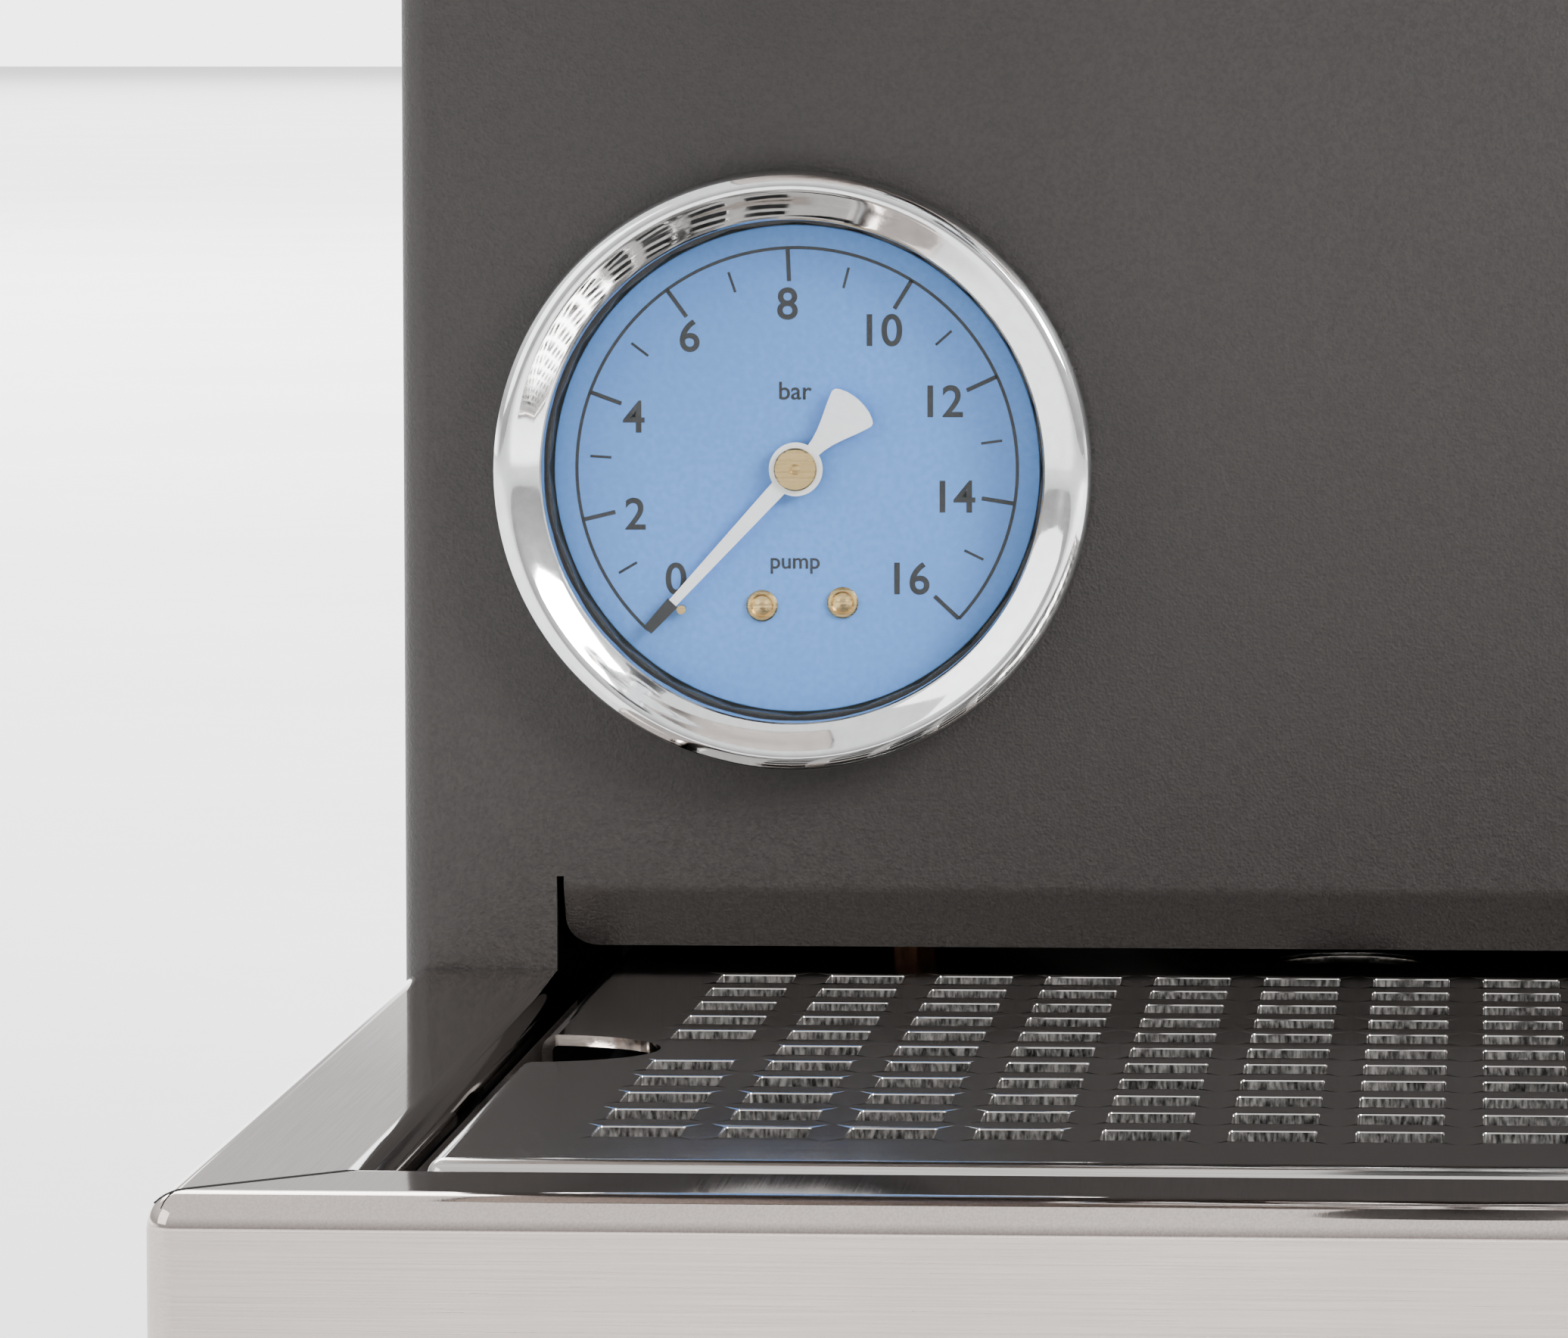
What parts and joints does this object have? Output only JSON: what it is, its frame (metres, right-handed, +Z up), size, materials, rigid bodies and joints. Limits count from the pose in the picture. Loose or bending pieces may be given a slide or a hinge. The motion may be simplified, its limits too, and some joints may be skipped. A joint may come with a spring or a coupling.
{
  "type": "espresso machine",
  "caption": "Compact single-boiler espresso machine with a dark body, steel drip tray, blue pressure gauge, twin-spout portafilter, steam wand and rear water tank.",
  "frame": {"origin": "middle of the bounding box in plan, on the worktop under the feet", "axes": "+Z up, the front with the gauge faces -Y, +X to the right seen from the front"},
  "size_m": [0.211, 0.468, 0.384],
  "materials": {
    "powder_coat": "fine-textured matte anthracite powder coat",
    "polished_steel": "polished stainless steel",
    "brushed_steel": "brushed stainless steel",
    "chrome": "chrome plate",
    "brass": "machined brass",
    "copper": "drawn copper tube",
    "black_plastic": "moulded black plastic, fine grain",
    "grey_plastic": "moulded grey plastic",
    "clear_plastic": "clear moulded plastic",
    "rubber": "black rubber",
    "silicone": "milky silicone hose",
    "glass": "clear flat glass",
    "dial_blue": "satin printed light blue",
    "needle_white": "white enamel"
  },
  "bodies": {
    "chassis": {"body_shell": "powder_coat", "rear_panel": "powder_coat", "head_shell": "powder_coat", "cup_rail": "polished_steel", "gauge_bezel": "polished_steel", "base_plate": "brushed_steel", "head_underside": "brushed_steel", "top_plate": "brushed_steel", "shower_screen": "brushed_steel", "tank_shelf": "brushed_steel", "pump_bracket": "brushed_steel", "control_bracket": "brushed_steel", "group_head": "chrome", "wand_nut": "chrome", "dispersion_plate": "brass", "boiler_base": "brass", "boiler_tank": "brass", "steam_valve": "brass", "solenoid_valve": "brass", "gauge_tube": "copper", "heating_element": "copper", "feed_pipe": "copper", "inlet_socket": "black_plastic", "gauge_case": "black_plastic", "switch_block": "black_plastic", "display_module": "black_plastic", "pump": "black_plastic", "control_box": "grey_plastic", "terminal_block": "grey_plastic", "water_tank": "clear_plastic", "foot_front_left": "rubber", "foot_front_right": "rubber", "foot_rear_left": "rubber", "foot_rear_right": "rubber", "group_gasket": "rubber", "suction_hose": "silicone", "waste_pipe": "silicone", "gauge_glass": "glass", "display_window": "glass", "gauge_dial": "dial_blue"},
    "drip_tray": {"tray_frame": "polished_steel", "drip_pan": "black_plastic", "tray_grille": "brushed_steel"},
    "gauge_needle": {"gauge_needle": "needle_white", "needle_hub": "brass"},
    "portafilter": {"portafilter_body": "chrome", "filter_basket": "polished_steel", "portafilter_spout": "chrome", "portafilter_handle": "black_plastic"},
    "wand_ball": {"wand_ball": "chrome"},
    "wand": {"wand_tube": "chrome", "wand_grip": "rubber"},
    "steam_knob": {"steam_knob": "black_plastic"},
    "rocker_power": {"rocker_power": "black_plastic"},
    "rocker_brew": {"rocker_brew": "black_plastic"},
    "rocker_steam": {"rocker_steam": "black_plastic"},
    "button_up": {"button_up": "grey_plastic"},
    "button_down": {"button_down": "grey_plastic"},
    "tank_lid": {"tank_lid": "brushed_steel"}
  },
  "joints": [
    {"name": "drip_tray_slide", "type": "slide", "parent": "chassis", "child": "drip_tray", "axis": [0, -1, 0], "range_m": [0, 0.15]},
    {"name": "gauge_needle_turn", "type": "hinge", "parent": "chassis", "child": "gauge_needle", "pos_m": [-0.0662, 0.026, 0.1197], "axis": [0, 1, 0], "range_deg": [0, 270], "stiffness_Nm_per_rad": 0.001},
    {"name": "portafilter_lock", "type": "hinge", "parent": "chassis", "child": "portafilter", "pos_m": [0, -0.044, 0.2454], "axis": [0, 0, -1], "range_deg": [0, 50]},
    {"name": "wand_swivel", "type": "hinge", "parent": "chassis", "child": "wand_ball", "pos_m": [0.08, -0.036, 0.249], "axis": [0, 0, 1], "range_deg": [-60, 60]},
    {"name": "wand_tilt", "type": "hinge", "parent": "wand_ball", "child": "wand", "pos_m": [0.08, -0.036, 0.249], "axis": [1, 0, 0], "range_deg": [-15, 15]},
    {"name": "steam_knob_turn", "type": "hinge", "parent": "chassis", "child": "steam_knob", "pos_m": [0.078, -0.114, 0.308], "axis": [0, -1, 0], "range_deg": [0, 270]},
    {"name": "rocker_power_tilt", "type": "hinge", "parent": "chassis", "child": "rocker_power", "pos_m": [-0.012, -0.11, 0.308], "axis": [-1, 0, 0], "range_deg": [0, 16]},
    {"name": "rocker_brew_tilt", "type": "hinge", "parent": "chassis", "child": "rocker_brew", "pos_m": [0.014, -0.11, 0.308], "axis": [-1, 0, 0], "range_deg": [0, 16]},
    {"name": "rocker_steam_tilt", "type": "hinge", "parent": "chassis", "child": "rocker_steam", "pos_m": [0.04, -0.11, 0.308], "axis": [-1, 0, 0], "range_deg": [0, 16]},
    {"name": "button_up_press", "type": "slide", "parent": "chassis", "child": "button_up", "axis": [0, 1, 0], "range_m": [0, 0.001], "stiffness_N_per_m": 400},
    {"name": "button_down_press", "type": "slide", "parent": "chassis", "child": "button_down", "axis": [0, 1, 0], "range_m": [0, 0.001], "stiffness_N_per_m": 400},
    {"name": "tank_lid_hinge", "type": "hinge", "parent": "chassis", "child": "tank_lid", "pos_m": [0, 0.233, 0.36], "axis": [-1, 0, 0], "range_deg": [0, 100]}
  ]
}
